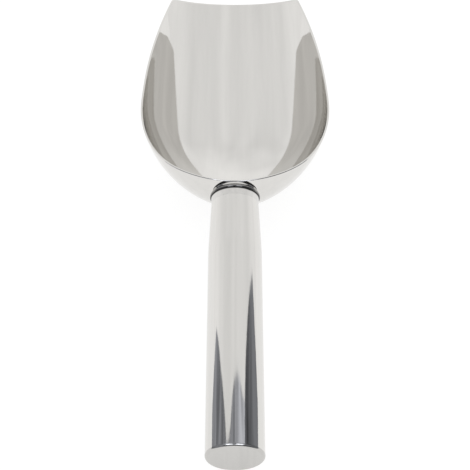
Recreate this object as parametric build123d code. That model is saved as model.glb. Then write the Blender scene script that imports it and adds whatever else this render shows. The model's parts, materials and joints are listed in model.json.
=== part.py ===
from build123d import *
import math
import os

# Welded stainless ice scoop, in millimetres.
# It is modelled in its own frame: the bowl's axis runs along Y with the lip toward +Y,
# Z is up, and the bowl's widest station stands at Y = 0. At the end the whole scoop is
# laid down as it rests on a table: on its round underside and on the handle's end.

# Bowl: a deep-drawn round cup, cut open along a sweeping rim. It is a round dome behind
# its widest station and a trough that narrows a little ahead of it.
bowl_radius = 43.5            # at the widest station
dome_length = 52.9            # from the nose to the widest station
nose_fullness = 0.37          # how far the dome runs flat at the nose, in bowl radii
shoulder_fullness = 0.59      # how far it runs straight into the trough, in dome lengths
trough_length = 68.5          # from the widest station forward to the lip's corners
lip_radius = 38.9             # of the trough at the lip's corners
lip_taper = 0.067             # radius lost for each millimetre there
trough_shoulder = 12.0        # how far the trough keeps the widest radius
trough_run = 20.0             # how far it keeps the lip's taper
sheet = 0.9                   # bowl wall

# Rim, seen from the side: from its high point over the handle down to the lip's corners.
rim_back_height = 12.9
rim_middle = [(-31.3, 1.2), (-14.7, -4.4), (4.3, -7.6), (25.7, -12.2)]
lip_corner_height = -24.9
lip_lean = 0.37               # how far the lip reaches forward for each millimetre down
lip_corner_radius = 2.0

# Handle: a closed tapered tube on the dome, just under the rim.
neck_height = 2.2             # where the handle's axis leaves the dome
handle_pitch = 2.4            # degrees that the handle rises away from the bowl's axis
handle_length = 126.0         # along its axis, from the dome to the end face
neck_radius = 10.3
flare_length = 27.0           # from the dome to the end of the neck's flare
flare_radius = 11.8
flare_blend_radius = 150.0
end_radius = 12.8
tube_wall = 1.0

# End cap: a disc welded over the tube's end and polished flush.
cap_thickness = 1.5
cap_edge_radius = 0.9

# Weld bead: a raised ring round the tube's neck, square to the handle, against the dome.
bead_radius = 1.0
bead_stand_out = 0.8          # how far the bead stands out from the tube
bead_place = -0.65            # of its middle along the handle, from where the axis leaves the dome

past_the_lip = 14.5           # trough stock that the lip's cut takes off
tube_stock = 12.0             # tube stock inside the dome that its fitted end takes off


def round_body():
    """The bowl's full body of revolution, before the wall and the rim are cut."""
    stock_end = (lip_radius - lip_taper * past_the_lip, trough_length + past_the_lip)
    closing = Polyline(trough @ 1, stock_end, (0, stock_end[1]), dome @ 0)
    return revolve(make_face([dome, trough, closing]), Axis.Y)


def on_dome(height):
    """Y of the dome's outer surface in the middle plane, at a height above the axis."""
    low, high = 0.0, 1.0
    for _ in range(50):
        middle = (low + high) / 2
        if (dome @ middle).X < abs(height):
            low = middle
        else:
            high = middle
    return (dome @ middle).Y


def rim_keep():
    """Everything below the rim and behind the lip, as a slab across the bowl."""
    low = -bowl_radius - 10
    behind = -dome_length - 10
    corner = (trough_length, lip_corner_height)
    back = (on_dome(rim_back_height), rim_back_height)
    back_slope = (rim_middle[0][1] - back[1]) / (rim_middle[0][0] - back[0])
    behind_rim = (behind, back[1] + back_slope * (behind - back[0]))
    lip_foot = (trough_length + lip_lean * (lip_corner_height - low), low)
    rim = Spline(back, *rim_middle, corner)
    rest = Polyline(corner, lip_foot, (behind, low), behind_rim, back)
    face = make_face([rim, rest])
    lip_corner = face.vertices().sort_by_distance(corner)[0]
    face = fillet(lip_corner, lip_corner_radius)
    across = Plane(origin=(0, 0, 0), x_dir=(0, 1, 0), z_dir=(1, 0, 0))
    return extrude(across * face, amount=bowl_radius + 10, both=True)


def make_bowl():
    """Drawn wall of even thickness, open at the front, below the rim and behind the lip."""
    front = outer_body.faces().sort_by(Axis.Y)[-1]
    return offset(outer_body, amount=-sheet, openings=front) & rim_keep()


def handle_plane():
    """Plane on the dome whose Z runs along the handle to its end face, and Y points up."""
    pitch = math.radians(handle_pitch)
    along = Vector(0, -math.cos(pitch), math.sin(pitch))
    return Plane(origin=(0, on_dome(neck_height), neck_height), x_dir=(1, 0, 0), z_dir=along)


def flare_slope():
    return (flare_radius - neck_radius) / flare_length


def tube_body(inset):
    """The tube's full round body along the handle's plane, drawn in by inset."""
    start = neck_radius - tube_stock * flare_slope() - inset
    tube_end = handle_length - cap_thickness
    outline = Polyline(
        (0, -tube_stock),
        (start, -tube_stock),
        (flare_radius - inset, flare_length),
        (end_radius - inset, tube_end),
        (0, tube_end),
        close=True,
    )
    face = make_face(outline)
    knee = face.vertices().sort_by_distance((flare_radius - inset, flare_length))[0]
    face = fillet(knee, flare_blend_radius)
    return handle_plane() * revolve(Plane.XZ * face, Axis.Z)


def make_tube():
    return tube_body(0) - tube_body(tube_wall) - outer_body


def make_cap():
    """Disc over the tube's end, with its outer edge rounded."""
    disc = extrude(Circle(end_radius), cap_thickness)
    disc = fillet(disc.edges().sort_by(Axis.Z)[-1], cap_edge_radius)
    return handle_plane() * Pos(0, 0, handle_length - cap_thickness) * disc


def make_bead():
    """Ring round the neck, square to the handle and fitted to the dome."""
    ring = Torus(neck_radius + bead_stand_out - bead_radius, bead_radius)
    return handle_plane() * Pos(0, 0, bead_place) * ring - tube_body(0) - outer_body


def resting_tilt():
    """Lean in degrees at which the bowl's underside and the handle's end touch the table."""
    underside = [dome @ (i / 2000) for i in range(2001)]
    edge = handle_plane().from_local_coords(
        Vector(0, cap_edge_radius - end_radius, handle_length - cap_edge_radius)
    )
    near, far = 0.0, math.radians(60)
    for _ in range(50):
        lean = (near + far) / 2
        bowl_low = min(p.Y * math.sin(lean) - p.X * math.cos(lean) for p in underside)
        end_low = edge.Y * math.sin(lean) + edge.Z * math.cos(lean) - cap_edge_radius
        if end_low > bowl_low:
            near = lean
        else:
            far = lean
    return math.degrees(lean)


# Half outline of the bowl's round body, as radius and Y
dome = Bezier(
    (0, -dome_length),
    (nose_fullness * bowl_radius, -dome_length),
    (bowl_radius, -shoulder_fullness * dome_length),
    (bowl_radius, 0),
)
trough = Bezier(
    (bowl_radius, 0),
    (bowl_radius, trough_shoulder),
    (lip_radius + lip_taper * trough_run, trough_length - trough_run),
    (lip_radius, trough_length),
)

outer_body = round_body()
pieces = {
    "bowl": make_bowl(),
    "handle_tube": make_tube(),
    "end_cap": make_cap(),
    "neck_weld_bead": make_bead(),
}

tilt = resting_tilt()
leaned = {name: Rot(tilt, 0, 0) * piece for name, piece in pieces.items()}
whole = Compound(list(leaned.values())).bounding_box()
to_origin = Pos(-whole.center().X, -whole.center().Y, -whole.min.Z)

os.makedirs("parts", exist_ok=True)
for name, piece in leaned.items():
    export_step(to_origin * piece, f"parts/{name}.step")
print(f"tilt {tilt:.2f} degrees, overall {whole.size}")
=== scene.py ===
"""Mirror-polished ice scoop: a drawn bowl, a welded tube handle and its end cap."""

import json
import math

import bmesh
import bpy
from mathutils import Matrix, Vector


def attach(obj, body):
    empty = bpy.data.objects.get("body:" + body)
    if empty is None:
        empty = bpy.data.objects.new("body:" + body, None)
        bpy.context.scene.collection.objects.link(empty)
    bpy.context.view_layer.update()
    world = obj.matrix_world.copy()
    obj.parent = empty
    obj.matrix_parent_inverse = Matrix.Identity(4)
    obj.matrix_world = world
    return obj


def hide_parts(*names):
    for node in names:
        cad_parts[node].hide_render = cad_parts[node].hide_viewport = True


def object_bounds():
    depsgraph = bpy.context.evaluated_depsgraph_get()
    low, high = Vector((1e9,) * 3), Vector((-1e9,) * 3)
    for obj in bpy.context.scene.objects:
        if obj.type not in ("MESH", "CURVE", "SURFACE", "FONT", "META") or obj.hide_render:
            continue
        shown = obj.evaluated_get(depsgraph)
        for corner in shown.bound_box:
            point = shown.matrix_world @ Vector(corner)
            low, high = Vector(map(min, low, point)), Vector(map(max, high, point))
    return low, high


bl_info = {
    "name": "Ice Scoop",
    "version": (1, 0, 0),
    "blender": (4, 5, 0),
    "location": "3D View > Sidebar > Ice Scoop",
    "description": "Builds a mirror-polished ice scoop round its measured frame",
    "category": "Add Mesh",
}

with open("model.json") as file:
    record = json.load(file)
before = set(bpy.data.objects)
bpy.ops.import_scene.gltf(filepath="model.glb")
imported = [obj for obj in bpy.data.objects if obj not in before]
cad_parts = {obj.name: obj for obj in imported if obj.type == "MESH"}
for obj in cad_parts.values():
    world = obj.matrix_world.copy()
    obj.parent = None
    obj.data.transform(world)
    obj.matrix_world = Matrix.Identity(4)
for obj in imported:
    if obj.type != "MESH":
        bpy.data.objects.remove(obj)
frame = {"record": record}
cad_low, cad_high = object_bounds()
END_FACE = next(m for m in frame["record"]["mounts"] if m["name"] == "handle_end")
MM = 0.001
TINY = 1e-9
HALVINGS = 26
SHARP = math.radians(32)    # edges bent more than this are shaded as corners
POLE = 1e-4                 # how near a full turn the rim line counts as closed
SUPPORT = 0.12 * MM         # width of the narrow strip beside the rim that keeps its edge crisp
FLARE_START = 0.25          # share of the trough's length where the lip's flare begins
RIM_CUTS = 7
TUBE_SIDES = 144
BEAD_SIDES, BEAD_STEPS = 160, 72
WELD_REACH = 2.0 * MM       # how far to each side of the bead the painted shade of its corners reaches
GRAIN_DEPTH = 0.02 * MM
DISC_PAINTED_SHADE = 0.8          # painted shade: the end disc's colour as a share of the bowl's steel
BLACK = (0, 0, 0, 1)

# Rim seen from the side: station and height over the bowl's axis, from back to lip corner
RIM = [(-49.8, 12.9), (-31.3, 1.2), (-14.7, -4.4), (4.3, -7.6), (25.7, -12.2), (68.5, -24.9)]


def length(name, value, description):
    """A size property in metres, given in millimetres."""
    return bpy.props.FloatProperty(
        name=name, description=description, default=value * MM, unit="LENGTH", precision=5
    )


class ScoopBowlSizes(bpy.types.PropertyGroup):
    radius: length("Radius", 43.5, "Outer radius at the widest station")
    dome: length("Dome length", 52.9, "From the nose of the dome to the widest station")
    trough: length("Trough length", 68.5, "From the widest station to the lip's corners")
    lip_radius: length("Lip radius", 38.9, "Outer radius at the lip's corners")
    shoulder: length("Trough shoulder", 12.0, "How far the trough keeps the widest radius")
    run: length("Trough run", 20.0, "How far the trough keeps the lip's taper")
    sheet: length("Sheet", 0.9, "Thickness of the drawn wall")
    rim_crown: length("Rim crown", 0.4, "How far the polished rim bulges between its edges")
    flare: length("Lip flare", 0.45, "How far the rim turns outward at the lip's corners")
    flare_depth: length("Flare depth", 13.0, "How far down from the rim the flare reaches")
    corner: length("Lip corner", 2.0, "Softening of the corner between rim and lip")
    nose_fullness: bpy.props.FloatProperty(
        name="Nose fullness", description="How square the nose is, in bowl radii", default=0.37
    )
    shoulder_fullness: bpy.props.FloatProperty(
        name="Shoulder fullness", description="How full the dome is, in dome lengths", default=0.59
    )
    taper: bpy.props.FloatProperty(
        name="Lip taper", description="Radius lost for each unit of length at the lip", default=0.067
    )
    lip_lean: bpy.props.FloatProperty(
        name="Lip lean", description="How far the lip reaches forward as it goes down", default=0.37
    )


class ScoopHandleSizes(bpy.types.PropertyGroup):
    neck_height: length("Neck height", 2.2, "Where the handle's axis leaves the dome")
    reach: length("Length", 126.0, "From the dome to the end face, along the handle")
    neck: length("Neck radius", 10.3, "Radius where the tube meets the dome")
    flare_at: length("Flare length", 27.0, "From the dome to the end of the neck's flare")
    flare: length("Flare radius", 11.8, "Radius at the end of the neck's flare")
    blend: length("Flare blend", 3.4, "Half-length of the soft bend at the flare's end")
    end: length("End radius", 12.8, "Radius at the end cap")
    wall: length("Wall", 1.0, "Tube wall")
    cap: length("Cap thickness", 1.5, "Thickness of the end disc")
    cap_edge: length("Cap edge", 1.2, "Rounding of the disc's outer edge")
    bead: length("Bead radius", 0.8, "Radius of the weld bead's section")
    bead_back: length("Bead foot, bowl side", 1.6, "From the crest to the foot of the fillet")
    bead_foot: length("Bead foot, grip side", 4.2, "From the crest to the foot of the fillet")
    bead_fill: length("Bead fillet", 0.42, "How high the fillets would reach under the crest")
    bead_out: length("Bead stand-out", 0.8, "How far the bead stands out from the tube")
    bead_at: length("Bead place", -0.65, "Of the bead's crest along the handle")
    pitch: bpy.props.FloatProperty(
        name="Pitch", description="Rise of the handle from the bowl's axis",
        default=math.radians(2.4), subtype="ANGLE",
    )


class ScoopFinish(bpy.types.PropertyGroup):
    steel: bpy.props.FloatVectorProperty(
        name="Steel", description="Reflected colour of the polished steel",
        subtype="COLOR", size=3, default=(0.68, 0.668, 0.645), min=0, max=1,
    )
    weld: bpy.props.FloatVectorProperty(
        name="Weld", description="Reflected colour of the polished weld",
        subtype="COLOR", size=3, default=(0.64, 0.63, 0.61), min=0, max=1,
    )
    floor: bpy.props.FloatVectorProperty(
        name="Floor", description="Colour of the light table that the scoop lies on",
        subtype="COLOR", size=3, default=(0.95, 0.95, 0.95), min=0, max=1,
    )


# Shape of the bowl


def halve(low, high, is_low):
    """The place between low and high where is_low turns false."""
    for _ in range(HALVINGS):
        middle = (low + high) / 2
        if is_low(middle):
            low = middle
        else:
            high = middle
    return (low + high) / 2


def cubic(points, t):
    """Point and direction of a cubic curve."""
    a, b, c, d = points
    u = 1 - t
    place = a * u**3 + b * 3 * u * u * t + c * 3 * u * t * t + d * t**3
    heading = (b - a) * u * u + (c - b) * 2 * u * t + (d - c) * t * t
    return place, heading


def side_line(bowl, t, inset):
    """Radius and station on the bowl's side line: t is 0 at the nose, 1 at the widest
    station and 2 at the lip's corners."""
    if t <= 1:
        square = bowl.nose_fullness * bowl.radius
        full = bowl.shoulder_fullness * bowl.dome
        points = [(0, -bowl.dome), (square, -bowl.dome), (bowl.radius, -full), (bowl.radius, 0)]
        place, heading = cubic([Vector(p) for p in points], t)
    else:
        neck = (bowl.lip_radius + bowl.taper * bowl.run, bowl.trough - bowl.run)
        lip = (bowl.lip_radius, bowl.trough)
        points = [(bowl.radius, 0), (bowl.radius, bowl.shoulder), neck, lip]
        place, heading = cubic([Vector(p) for p in points], min(t, 2) - 1)
    if t > 2:
        place += Vector((-bowl.taper, 1)) * (t - 2) * bowl.trough
    inward = Vector((-heading.y, heading.x)).normalized()
    return place + inward * inset


def rim_height(bowl, station):
    """Height of the rim over the bowl's axis, down to the lip's lowest point."""
    knots = [Vector(p) * MM for p in RIM]
    slopes = []
    for i in range(len(knots)):
        before, after = knots[max(i - 1, 0)], knots[min(i + 1, len(knots) - 1)]
        slopes.append((after.y - before.y) / (after.x - before.x))
    i = max(j for j in range(len(knots) - 1) if j == 0 or knots[j].x <= station)
    span = knots[i + 1].x - knots[i].x
    t = (station - knots[i].x) / span
    if t < 0:
        height = knots[0].y + slopes[0] * (station - knots[0].x)
    elif t > 1:
        height = knots[-1].y + slopes[-1] * (station - knots[-1].x)
    else:
        height = (
            knots[i].y * (1 + 2 * t) * (1 - t) ** 2
            + knots[i + 1].y * t * t * (3 - 2 * t)
            + slopes[i] * span * t * (1 - t) ** 2
            + slopes[i + 1] * span * t * t * (t - 1)
        )
    height -= bowl.rim_crown
    lip = knots[-1].y - (station + bowl.rim_crown - knots[-1].x) / bowl.lip_lean
    near = max(0.0, 1 - abs(height - lip) / bowl.corner)
    return min(height, lip) - bowl.corner * near * near / 4


def opening_at(bowl, t, inset):
    """How far the rim stands above the side line: positive where the ring is closed."""
    place = side_line(bowl, t, inset)
    return rim_height(bowl, place.y) - place.x, rim_height(bowl, place.y) + place.x


# Turns from the bowl's and the handle's own places to where the scoop lies


def on_dome(bowl, height):
    """Station of the dome's outer side in the middle plane at a height over the axis."""
    t = halve(0, 1, lambda t: side_line(bowl, t, 0).x < abs(height))
    return side_line(bowl, t, 0).y


def handle_place(bowl, handle):
    """Handle's own frame in the bowl's: Z runs to the end face, Y points up."""
    start = Matrix.Translation((0, on_dome(bowl, handle.neck_height), handle.neck_height))
    return start @ Matrix.Rotation(math.pi / 2 - handle.pitch, 4, "X")


def lying(bowl, handle):
    """Leans the scoop as it rests and puts its end face where the frame has it."""
    out = Vector(END_FACE["axis"])
    lean = Matrix.Rotation(math.asin(-out.z) + handle.pitch, 4, "X")
    end = lean @ handle_place(bowl, handle) @ Vector((0, 0, handle.reach))
    return Matrix.Translation(Vector(END_FACE["pos_m"]) - end) @ lean


# Mesh helpers


def finish_mesh(bm, name, place, material, node):
    """Turns a bmesh into a shown piece that stands for its frame node."""
    bmesh.ops.transform(bm, matrix=place, verts=bm.verts[:])
    bmesh.ops.recalc_face_normals(bm, faces=bm.faces[:])
    mesh = bpy.data.meshes.new(name)
    bm.to_mesh(mesh)
    bm.free()
    mesh.shade_smooth()
    mesh.set_sharp_from_angle(angle=SHARP)
    mesh.materials.append(material)
    piece = bpy.data.objects.new(name, mesh)
    bpy.context.scene.collection.objects.link(piece)
    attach(piece, "root")
    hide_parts(node)


def chain(bm, points):
    """A row of vertices joined by edges."""
    verts = [bm.verts.new(p) for p in points]
    edges = [bm.edges.new(pair) for pair in zip(verts, verts[1:])]
    return verts, edges


def bowl_skin(bm, bowl, inset):
    """One side of the bowl's wall: half a turn of its side line, spread round to the rim.
    Returns the edges along the rim and the lip."""
    nose_rows, rim_rows, columns = 14, 190, 132
    back = halve(0, 1, lambda t: opening_at(bowl, t, inset)[0] > 0)
    front = halve(1.5, 2.5, lambda t: opening_at(bowl, t, inset)[1] > 0)
    rows = [back * i / nose_rows for i in range(nose_rows)]
    rows += [
        back + (front - back) * (1 - math.cos(math.pi * i / rim_rows)) / 2
        for i in range(rim_rows + 1)
    ]
    places = [side_line(bowl, t, inset) for t in rows]
    verts, edges = chain(bm, [(p.x, p.y, 0) for p in places])
    before = set(bm.verts) - set(verts)
    bmesh.ops.spin(
        bm, geom=verts + edges, axis=(0, 1, 0), cent=(0, 0, 0), dvec=(0, 0, 0),
        angle=math.pi, steps=columns, use_duplicate=False, use_merge=False,
    )
    mine = [v for v in bm.verts if v not in before]
    heights = {}
    for v in mine:
        radius = math.hypot(v.co.x, v.co.z)
        if radius < TINY:
            continue
        row = round(v.co.y, 8)
        if row not in heights:
            heights[row] = rim_height(bowl, row)
        level = heights[row] / radius
        if abs(level) > 1 - POLE:
            level = math.copysign(1, level)
        side = math.atan2(v.co.x, -v.co.z)
        reach = math.pi / 2 + math.asin(level)
        turn = side * reach / (math.pi / 2)
        if abs(abs(side) * columns / math.pi - columns / 2 + 1) < 0.1:
            turn = math.copysign(max(abs(turn), reach - SUPPORT / radius), turn)
        forward = (row / bowl.trough - FLARE_START) / (1 - FLARE_START)
        forward = max(0.0, min(1.0, forward)) * math.sin(reach) ** 2
        depth = (reach - abs(turn)) * radius
        near = max(0.0, 1 - depth / (bowl.flare_depth * forward + TINY))
        radius += bowl.flare * forward * near * near
        v.co.x, v.co.z = radius * math.sin(turn), -radius * math.cos(turn)
    bmesh.ops.remove_doubles(bm, verts=mine, dist=1e-7)
    mine = {v for v in bm.verts if v not in before}
    return [e for e in bm.edges if e.is_boundary and e.verts[0] in mine]


class SCOOP_OT_bowl(bpy.types.Operator):
    """Make the drawn bowl: two skins joined by a crowned rim"""

    bl_idname = "scoop.bowl"
    bl_label = "Bowl"

    def execute(self, context):
        bowl, handle = context.scene.scoop_bowl, context.scene.scoop_handle
        bm = bmesh.new()
        across = bm.verts.layers.float.new("across")
        outer = bowl_skin(bm, bowl, 0)
        outside = set(bm.verts)
        inner = bowl_skin(bm, bowl, bowl.sheet)
        for v in bm.verts:
            v[across] = 0.0 if v in outside else 1.0
        wall = bmesh.ops.bridge_loops(bm, edges=outer + inner)
        bmesh.ops.subdivide_edges(bm, edges=wall["edges"], cuts=RIM_CUTS, use_grid_fill=True)
        bmesh.ops.recalc_face_normals(bm, faces=bm.faces[:])
        bm.normal_update()
        for v in bm.verts:
            crown = 1 - (2 * v[across] - 1) ** 2
            if crown > 0:
                v.co += v.normal * bowl.rim_crown * math.sqrt(crown)
        place = lying(bowl, handle)
        finish_mesh(bm, "bowl_shell", place, bowl_material(context), "bowl")
        return {"FINISHED"}


# Shape of the handle


def slide_to_dome(bowl, place, start):
    """How far along the handle a line at this offset meets the dome's outer side."""

    def inside(along):
        p = place @ Vector((start.x, start.y, along))
        t = halve(0, 1, lambda t: side_line(bowl, t, 0).y < p.y)
        return math.hypot(p.x, p.z) < side_line(bowl, t, 0).x

    return halve(-12 * MM, 12 * MM, inside)


def spin_whole(bm, verts, edges, steps):
    """A full turn about the handle's axis."""
    bmesh.ops.spin(
        bm, geom=verts + edges, axis=(0, 0, 1), cent=(0, 0, 0), dvec=(0, 0, 0),
        angle=math.tau, steps=steps, use_duplicate=False, use_merge=True,
    )


class SCOOP_OT_handle(bpy.types.Operator):
    """Make the tapered tube, with its neck fitted to the dome"""

    bl_idname = "scoop.handle"
    bl_label = "Handle tube"

    def execute(self, context):
        bowl, handle = context.scene.scoop_bowl, context.scene.scoop_handle
        tube_end = handle.reach - handle.cap
        neck_slope = (handle.flare - handle.neck) / handle.flare_at
        grip_slope = (handle.end - handle.flare) / (tube_end - handle.flare_at)
        knee = Vector((handle.flare, 0, handle.flare_at))
        before = knee - Vector((neck_slope, 0, 1)) * handle.blend
        after = knee + Vector((grip_slope, 0, 1)) * handle.blend
        bend = [before, before.lerp(knee, 2 / 3), after.lerp(knee, 2 / 3), after]
        outer = [Vector((handle.neck, 0, 0)).lerp(before, i / 12) for i in range(12)]
        outer += [cubic(bend, i / 10)[0] for i in range(10)]
        outer += [after.lerp(Vector((handle.end, 0, tube_end)), i / 36) for i in range(37)]
        inner = [p - Vector((handle.wall, 0, 0)) for p in reversed(outer)]
        bm = bmesh.new()
        verts, edges = chain(bm, outer + inner)
        edges.append(bm.edges.new((verts[-1], verts[0])))
        spin_whole(bm, verts, edges, TUBE_SIDES)
        place = handle_place(bowl, handle)
        fits = {}
        for v in bm.verts:
            if v.co.z < TINY:
                spoke = round(math.atan2(v.co.y, v.co.x), 4), v.co.xy.length > handle.neck - TINY
                fits[spoke] = slide_to_dome(bowl, place, v.co)
                v.co.z += fits[spoke]
        whole = lying(bowl, handle) @ place
        finish_mesh(
            bm, "handle_grip", whole, handle_material(context), "handle_tube"
        )
        return {"FINISHED"}


class SCOOP_OT_cap(bpy.types.Operator):
    """Make the end disc, with its soft polished edge"""

    bl_idname = "scoop.cap"
    bl_label = "End cap"

    def execute(self, context):
        bowl, handle = context.scene.scoop_bowl, context.scene.scoop_handle
        bm = bmesh.new()
        bmesh.ops.create_circle(bm, cap_ends=True, radius=handle.end, segments=TUBE_SIDES)
        rise = bmesh.ops.extrude_face_region(bm, geom=bm.faces[:])
        top = [g for g in rise["geom"] if isinstance(g, bmesh.types.BMVert)]
        bmesh.ops.translate(bm, verts=top, vec=(0, 0, handle.cap))
        edge = [e for e in bm.edges if all(v in set(top) for v in e.verts)]
        bmesh.ops.bevel(
            bm, geom=edge, offset=handle.cap_edge, segments=10, profile=0.5,
            affect="EDGES", material=-1,
        )
        face = max(bm.faces, key=lambda f: f.calc_center_median().z)
        bmesh.ops.inset_region(bm, faces=[face], thickness=handle.cap / 8)
        bmesh.ops.translate(bm, verts=bm.verts[:], vec=(0, 0, handle.reach - handle.cap))
        whole = lying(bowl, handle) @ handle_place(bowl, handle)
        finish_mesh(bm, "end_disc", whole, disc_material(context), "end_cap")
        return {"FINISHED"}


class SCOOP_OT_bead(bpy.types.Operator):
    """Make the polished weld bead round the neck"""

    bl_idname = "scoop.bead"
    bl_label = "Weld bead"

    def execute(self, context):
        bowl, handle = context.scene.scoop_bowl, context.scene.scoop_handle
        foot = handle.neck - handle.wall / 2
        section = []
        for i in range(BEAD_STEPS + 1):
            along = (handle.bead_foot + handle.bead_back) * i / BEAD_STEPS - handle.bead_back
            ending = handle.bead_foot if along > 0 else handle.bead_back
            fillet = handle.bead_fill * (1 - abs(along) / ending) ** 2
            dip = handle.bead - math.sqrt(max(0.0, handle.bead**2 - along**2))
            flare = (handle.flare - handle.neck) * max(0.0, handle.bead_at + along)
            rise = max(fillet, handle.bead_out - dip) + flare / handle.flare_at
            section.append((handle.neck + rise, 0, handle.bead_at + along))
        section += [(foot, 0, section[-1][2]), (foot, 0, section[0][2])]
        bm = bmesh.new()
        verts, edges = chain(bm, section)
        edges.append(bm.edges.new((verts[-1], verts[0])))
        spin_whole(bm, verts, edges, BEAD_SIDES)
        whole = lying(bowl, handle) @ handle_place(bowl, handle)
        finish_mesh(bm, "neck_weld", whole, weld_material(context), "neck_weld_bead")
        return {"FINISHED"}


# Finishes


def new_group(name, takes, gives):
    """A shader node group with named sockets."""
    group = bpy.data.node_groups.new(name, "ShaderNodeTree")
    for label, kind, value in takes:
        socket = group.interface.new_socket(label, in_out="INPUT", socket_type=kind)
        if value is not None:
            socket.default_value = value
    for label, kind in gives:
        group.interface.new_socket(label, in_out="OUTPUT", socket_type=kind)
    start = group.nodes.new("NodeGroupInput")
    end = group.nodes.new("NodeGroupOutput")
    return group, start, end


def node(tree, kind, values=(), **settings):
    """A node with its settings and the values of its named or numbered inputs."""
    made = tree.nodes.new(kind)
    for key, value in settings.items():
        setattr(made, key, value)
    for key, value in dict(values).items():
        made.inputs[key].default_value = value
    return made


def math_node(tree, operation, first, second):
    """A sum on two values or sockets; its result."""
    made = tree.nodes.new("ShaderNodeMath")
    made.operation = operation
    for i, given in enumerate((first, second)):
        if isinstance(given, bpy.types.NodeSocket):
            tree.links.new(given, made.inputs[i])
        else:
            made.inputs[i].default_value = given
    return made.outputs[0]


def polish_group():
    """Marks that a polishing wheel leaves: streaks along the grain, smears and hairlines."""
    name = "Polish marks"
    if name in bpy.data.node_groups:
        return bpy.data.node_groups[name]
    takes = [
        ("Place", "NodeSocketVector", None),
        ("Streaks", "NodeSocketFloat", 0.05),
        ("Tint", "NodeSocketFloat", 0.02),
        ("Smoothness", "NodeSocketFloat", 0.04),
        ("Smears", "NodeSocketFloat", 0.06),
    ]
    gives = [
        ("Shade", "NodeSocketColor"),
        ("Roughness", "NodeSocketFloat"),
        ("Height", "NodeSocketFloat"),
    ]
    group, start, end = new_group(name, takes, gives)
    link = group.links.new
    grain = node(group, "ShaderNodeVectorMath", {1: (1.0, 0.05, 1.0)}, operation="MULTIPLY")
    link(start.outputs["Place"], grain.inputs[0])
    streak = node(group, "ShaderNodeTexNoise", {"Scale": 260.0, "Detail": 5.0, "Roughness": 0.6})
    link(grain.outputs[0], streak.inputs["Vector"])
    hair = node(group, "ShaderNodeTexNoise", {"Scale": 2600.0, "Detail": 3.0, "Roughness": 0.7})
    link(grain.outputs[0], hair.inputs["Vector"])
    smear = node(
        group, "ShaderNodeTexNoise",
        {"Scale": 38.0, "Detail": 4.0, "Roughness": 0.55, "Distortion": 0.8},
    )
    link(start.outputs["Place"], smear.inputs["Vector"])
    offset = math_node(group, "SUBTRACT", streak.outputs["Fac"], 0.5)
    tone = math_node(group, "MULTIPLY", offset, start.outputs["Streaks"])
    tone = math_node(group, "ADD", tone, 1.0)
    grey = group.nodes.new("ShaderNodeCombineColor")
    for channel in grey.inputs:
        link(tone, channel)
    tinted = node(group, "ShaderNodeMix", data_type="RGBA", blend_type="OVERLAY")
    link(start.outputs["Tint"], tinted.inputs["Factor"])
    link(grey.outputs["Color"], tinted.inputs["A"])
    link(smear.outputs["Color"], tinted.inputs["B"])
    link(tinted.outputs["Result"], end.inputs["Shade"])
    rise = math_node(group, "SUBTRACT", smear.outputs["Fac"], 0.45)
    rise = math_node(group, "MAXIMUM", rise, 0.0)
    rough = math_node(group, "MULTIPLY", rise, start.outputs["Smears"])
    fine = math_node(group, "MULTIPLY", hair.outputs["Fac"], 0.02)
    rough = math_node(group, "ADD", rough, fine)
    rough = math_node(group, "ADD", rough, start.outputs["Smoothness"])
    link(rough, end.inputs["Roughness"])
    ripple = math_node(group, "MULTIPLY", streak.outputs["Fac"], 0.35)
    height = math_node(group, "MULTIPLY", hair.outputs["Fac"], 0.65)
    link(math_node(group, "ADD", ripple, height), end.inputs["Height"])
    return group


def steel_material(context, name, colour, turn, marks, bump):
    """Polished steel: a bright metal under polishing marks that run along a piece."""
    found = bpy.data.materials.get(name)
    if found:
        return found
    material = bpy.data.materials.new(name)
    material.use_nodes = True
    tree = material.node_tree
    shader = tree.nodes["Principled BSDF"]
    shader.inputs["Metallic"].default_value = 1.0
    place = tree.nodes.new("ShaderNodeTexCoord")
    along = node(tree, "ShaderNodeMapping", {"Rotation": (turn, 0, 0)})
    polish = tree.nodes.new("ShaderNodeGroup")
    polish.node_tree = polish_group()
    for key, value in marks.items():
        polish.inputs[key].default_value = value
    tint = node(tree, "ShaderNodeMix", {"Factor": 1.0}, data_type="RGBA", blend_type="MULTIPLY")
    tint.inputs["A"].default_value = (*colour, 1)
    relief = node(tree, "ShaderNodeBump", {"Strength": bump, "Distance": GRAIN_DEPTH})
    link = tree.links.new
    link(place.outputs["Object"], along.inputs["Vector"])
    link(along.outputs["Vector"], polish.inputs["Place"])
    link(polish.outputs["Shade"], tint.inputs["B"])
    link(tint.outputs["Result"], shader.inputs["Base Color"])
    link(polish.outputs["Roughness"], shader.inputs["Roughness"])
    link(polish.outputs["Height"], relief.inputs["Height"])
    link(relief.outputs["Normal"], shader.inputs["Normal"])
    return material


def lean_of(context):
    """How far the bowl's axis leans up from the floor."""
    out = Vector(END_FACE["axis"])
    return math.asin(-out.z) + context.scene.scoop_handle.pitch


def bowl_material(context):
    """Bright polish, with marks that run along the bowl."""
    marks = {"Streaks": 0.12, "Tint": 0.10, "Smoothness": 0.035, "Smears": 0.12}
    colour = context.scene.scoop_finish.steel
    return steel_material(context, "Polished bowl", colour, -lean_of(context), marks, 0.25)


def handle_material(context):
    """Bright polish, with stronger marks that run along the grip."""
    marks = {"Streaks": 0.14, "Tint": 0.12, "Smoothness": 0.04, "Smears": 0.10}
    turn = context.scene.scoop_handle.pitch - lean_of(context)
    colour = context.scene.scoop_finish.steel
    return steel_material(context, "Polished handle", colour, turn, marks, 0.35)


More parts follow.
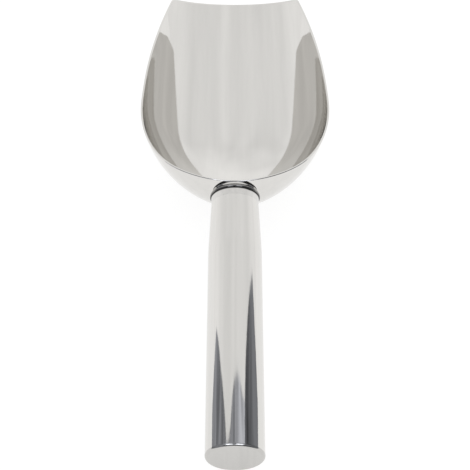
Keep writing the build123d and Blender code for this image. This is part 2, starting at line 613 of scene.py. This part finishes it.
def disc_material(context):
    """The same steel, polished a little rougher across the end face and darkened as painted shade.
    """
    marks = {"Streaks": 0.22, "Tint": 0.10, "Smoothness": 0.12, "Smears": 0.20}
    turn = math.pi / 2 - lean_of(context)
    # painted shade: the steel's colour darkened for the end face
    colour = [channel * DISC_PAINTED_SHADE for channel in context.scene.scoop_finish.steel]
    return steel_material(context, "Polished end disc", colour, turn, marks, 0.5)


def weld_material(context):
    """Weld steel, with painted shade and painted dark reflection on the bead: its crest greyed and
    the two corners beside it nearly black.
    """
    found = bpy.data.materials.get("Polished weld")
    if found:
        return found
    marks = {"Streaks": 0.10, "Tint": 0.04, "Smoothness": 0.05, "Smears": 0.15}
    bowl, handle = context.scene.scoop_bowl, context.scene.scoop_handle
    colour = context.scene.scoop_finish.weld
    material = steel_material(context, "Polished weld", colour, 0.0, marks, 0.4)
    tree = material.node_tree
    shader = tree.nodes["Principled BSDF"]
    crest = Matrix.Translation((0, 0, -handle.bead_at))
    turned = crest @ (lying(bowl, handle) @ handle_place(bowl, handle)).inverted()
    placed = node(
        tree, "ShaderNodeMapping",
        {"Location": turned.translation, "Rotation": turned.to_euler()},
    )
    parts = tree.nodes.new("ShaderNodeSeparateXYZ")
    corners = tree.nodes.new("ShaderNodeValToRGB")
    # Distance from the crest in millimetres, and how much of the steel's brightness the painted
    # shade leaves there
    shade_tones = ((0.0, 0.42), (0.4, 0.36), (0.62, 0.04), (1.0, 0.04), (1.35, 1.0))
    ramp = corners.color_ramp
    for off, tone in shade_tones[1:-1]:
        ramp.elements.new(off * MM / WELD_REACH)
    for stop, (off, tone) in zip(ramp.elements, shade_tones):
        stop.position = off * MM / WELD_REACH
        stop.color = (tone, tone, tone, 1)
    # painted shade: the weld's colour is multiplied down by this ramp, grey on the crest and nearly
    # black in the corners
    crease_shaded = node(tree, "ShaderNodeMix", {"Factor": 1.0}, data_type="RGBA", blend_type="MULTIPLY")
    place = next(n for n in tree.nodes if n.bl_idname == "ShaderNodeTexCoord")
    link = tree.links.new
    link(shader.inputs["Base Color"].links[0].from_socket, crease_shaded.inputs["A"])
    link(place.outputs["Object"], placed.inputs["Vector"])
    link(placed.outputs["Vector"], parts.inputs["Vector"])
    aside = math_node(tree, "ABSOLUTE", parts.outputs["Z"], 0.0)
    link(math_node(tree, "DIVIDE", aside, WELD_REACH), corners.inputs["Fac"])
    link(corners.outputs["Color"], crease_shaded.inputs["B"])
    link(crease_shaded.outputs["Result"], shader.inputs["Base Color"])
    return material


# Floor, light and camera


def plain_material(name, colour, glow):
    """A matt stage material with some light of its own."""
    material = bpy.data.materials.new(name)
    material.use_nodes = True
    shader = material.node_tree.nodes["Principled BSDF"]
    shader.inputs["Base Color"].default_value = (*colour, 1)
    shader.inputs["Roughness"].default_value = 1.0
    shader.inputs["Specular IOR Level"].default_value = 0.0
    shader.inputs["Emission Color"].default_value = (*colour, 1)
    shader.inputs["Emission Strength"].default_value = glow
    return material


def card_material(name, grey):
    """A card that glows unevenly, as a dim room does behind a lit tent."""
    tone = (grey * 0.95, grey * 0.98, grey * 1.07)
    material = plain_material(name, tone, 1.0)
    tree = material.node_tree
    shader = tree.nodes["Principled BSDF"]
    shader.inputs["Base Color"].default_value = BLACK
    place = tree.nodes.new("ShaderNodeTexCoord")
    uneven = node(tree, "ShaderNodeTexNoise", {"Scale": 6.0, "Detail": 4.0, "Distortion": 0.6})
    shade = node(tree, "ShaderNodeMapRange", {1: 0.34, 2: 0.66, 3: 0.4, 4: 1.7})
    tree.links.new(place.outputs["Object"], uneven.inputs["Vector"])
    tree.links.new(uneven.outputs["Fac"], shade.inputs["Value"])
    tree.links.new(shade.outputs["Result"], shader.inputs["Emission Strength"])
    return material


def stage_mesh(name, corners, material, seen):
    """A flat stage card through its corners."""
    bm = bmesh.new()
    bm.faces.new([bm.verts.new(c) for c in corners])
    mesh = bpy.data.meshes.new(name)
    bm.to_mesh(mesh)
    bm.free()
    mesh.materials.append(material)
    card = bpy.data.objects.new(name, mesh)
    bpy.context.scene.collection.objects.link(card)
    card.visible_camera = seen
    card.visible_diffuse = seen
    card.visible_shadow = seen


FLOOR_REACH, FLOOR_GAP = 12, 0.1 * MM
FLOOR_GLOW, FLOOR_TONE = 0.84, 0.3
LENS, SENSOR = 199.1, 36    # millimetres
CAMERA_AIM = (0, -55.3 * MM, -28.2 * MM)    # in the bowl's own place
CAMERA_RISE = math.radians(63)
CAMERA_DISTANCE = 1.177

# The dim room and two lamps round the tent, each as its grey and its corners. The white
# tent ends in a ragged edge beside and above the handle.
BACK = -0.7
TOP = 0.95
CARDS = {
    "side_right": (0.15, [
        (0.30, y, z) for y, z in (
            (0.108, 0.125), (0.081, 0.386), (0.064, 0.45), (0.05, TOP), (BACK, TOP),
            (BACK, 0), (0.045, 0), (0.066, 0.04),
        )
    ]),
    "side_left": (0.25, [
        (-0.30, y, z) for y, z in (
            (0.076, 0.095), (0.052, 0.242), (0.05, 0.375), (0.055, 0.525), (0.05, TOP),
            (BACK, TOP), (BACK, 0), (0.04, 0), (0.055, 0.035),
        )
    ]),
    "overhead": (0.42, [
        (x, y, 0.45) for x, y in (
            (0.052, 0.037), (-0.053, 0.029), (-0.09, 0.022), (-0.127, 0.013),
            (-0.167, 0.011), (-0.209, 0.017), (-0.254, 0.028), (-0.3, 0.04),
            (-0.3, BACK), (0.3, BACK), (0.3, 0.066), (0.25, 0.055), (0.208, 0.047),
        )
    ]),
    "lamp_right": (1.9, [
        (x, y, 0.44) for x, y in ((0.02, -0.6), (0.28, -0.6), (0.28, -0.14), (0.06, -0.14))
    ]),
    "lamp_left": (1.9, [
        (x, y, 0.44) for x, y in ((-0.28, -0.6), (-0.05, -0.6), (-0.07, -0.14), (-0.28, -0.14))
    ]),
    "behind": (0.06, [
        (x, BACK, z) for x, z in ((-0.3, 0), (0.3, 0), (0.3, 0.45), (-0.3, 0.45))
    ]),
}


def white_tent():
    """Soft white light all round, with the faint folds and tints of the tent's cloth."""
    world = bpy.data.worlds.new("White tent")
    world.use_nodes = True
    tree = world.node_tree
    place = tree.nodes.new("ShaderNodeTexCoord")
    folds = node(tree, "ShaderNodeTexNoise", {"Scale": 1.5, "Detail": 1.5, "Distortion": 0.3})
    tints = node(tree, "ShaderNodeTexNoise", {"Scale": 1.7, "Detail": 1.0})
    shade = node(tree, "ShaderNodeMapRange", {1: 0.3, 2: 0.7, 3: 0.9, 4: 1.1})
    mixed = node(tree, "ShaderNodeMix", {"Factor": 0.10}, data_type="RGBA", blend_type="OVERLAY")
    light = tree.nodes["Background"]
    link = tree.links.new
    link(place.outputs["Generated"], folds.inputs["Vector"])
    link(place.outputs["Generated"], tints.inputs["Vector"])
    link(folds.outputs["Fac"], shade.inputs["Value"])
    link(tints.outputs["Color"], mixed.inputs["B"])
    mixed.inputs["A"].default_value = (1, 1, 1, 1)
    link(mixed.outputs["Result"], light.inputs["Color"])
    link(shade.outputs["Result"], light.inputs["Strength"])
    return world


class SCOOP_OT_stage(bpy.types.Operator):
    """Make the light table, the dark cards, the soft light and the camera"""

    bl_idname = "scoop.stage"
    bl_label = "Stage"

    def execute(self, context):
        scene = context.scene
        reach = FLOOR_REACH * (cad_high - cad_low).length
        tone = scene.scoop_finish.floor
        floor = plain_material("Light table", tone, FLOOR_GLOW)
        floor.node_tree.nodes["Principled BSDF"].inputs["Base Color"].default_value = (
            *[channel * FLOOR_TONE for channel in tone], 1,
        )
        corners = [(-reach, -reach), (reach, -reach), (reach, reach), (-reach, reach)]
        level = cad_low.z - FLOOR_GAP
        stage_mesh("floor", [(x, y, level) for x, y in corners], floor, True)
        for name, (grey, corners) in CARDS.items():
            stage_mesh(name, corners, card_material(name, grey), False)
        scene.world = white_tent()
        self.camera(context)
        scene.view_settings.view_transform = "Standard"
        scene.cycles.glossy_bounces = 10
        return {"FINISHED"}

    def camera(self, context):
        """Camera on the scoop's middle plane, over the handle and looking into the bowl."""
        data = bpy.data.cameras.new("Camera")
        data.lens = LENS
        data.sensor_width = SENSOR
        data.clip_start, data.clip_end = 0.05, 50
        camera = bpy.data.objects.new("Camera", data)
        context.scene.collection.objects.link(camera)
        whole = lying(context.scene.scoop_bowl, context.scene.scoop_handle)
        aim = whole @ Vector(CAMERA_AIM)
        back = whole.to_3x3() @ Vector((0, -math.cos(CAMERA_RISE), math.sin(CAMERA_RISE)))
        camera.location = aim + back * CAMERA_DISTANCE
        camera.rotation_mode = "QUATERNION"
        camera.rotation_quaternion = (-back).to_track_quat("-Z", "Y")
        context.scene.camera = camera


class SCOOP_PT_panel(bpy.types.Panel):
    """Sizes, finishes and makers of the ice scoop"""

    bl_idname = "SCOOP_PT_panel"
    bl_label = "Ice Scoop"
    bl_space_type = "VIEW_3D"
    bl_region_type = "UI"
    bl_category = "Ice Scoop"

    def draw(self, context):
        column = self.layout.column(align=True)
        for maker in MAKERS:
            column.operator(maker.bl_idname)
        for group in (
            context.scene.scoop_bowl,
            context.scene.scoop_handle,
            context.scene.scoop_finish,
        ):
            box = self.layout.box().column(align=True)
            for key in group.__annotations__:
                box.prop(group, key)


SETTINGS = {
    "scoop_bowl": ScoopBowlSizes,
    "scoop_handle": ScoopHandleSizes,
    "scoop_finish": ScoopFinish,
}
MAKERS = (SCOOP_OT_bowl, SCOOP_OT_handle, SCOOP_OT_cap, SCOOP_OT_bead, SCOOP_OT_stage)


def register():
    for name, settings in SETTINGS.items():
        bpy.utils.register_class(settings)
        setattr(bpy.types.Scene, name, bpy.props.PointerProperty(type=settings))
    for maker in MAKERS:
        bpy.utils.register_class(maker)
    bpy.utils.register_class(SCOOP_PT_panel)


def unregister():
    bpy.utils.unregister_class(SCOOP_PT_panel)
    for maker in reversed(MAKERS):
        bpy.utils.unregister_class(maker)
    for name, settings in SETTINGS.items():
        delattr(bpy.types.Scene, name)
        bpy.utils.unregister_class(settings)


def main():
    register()
    bpy.ops.scoop.bowl()
    bpy.ops.scoop.handle()
    bpy.ops.scoop.cap()
    bpy.ops.scoop.bead()
    bpy.ops.scoop.stage()


if __name__ == "__main__":
    main()
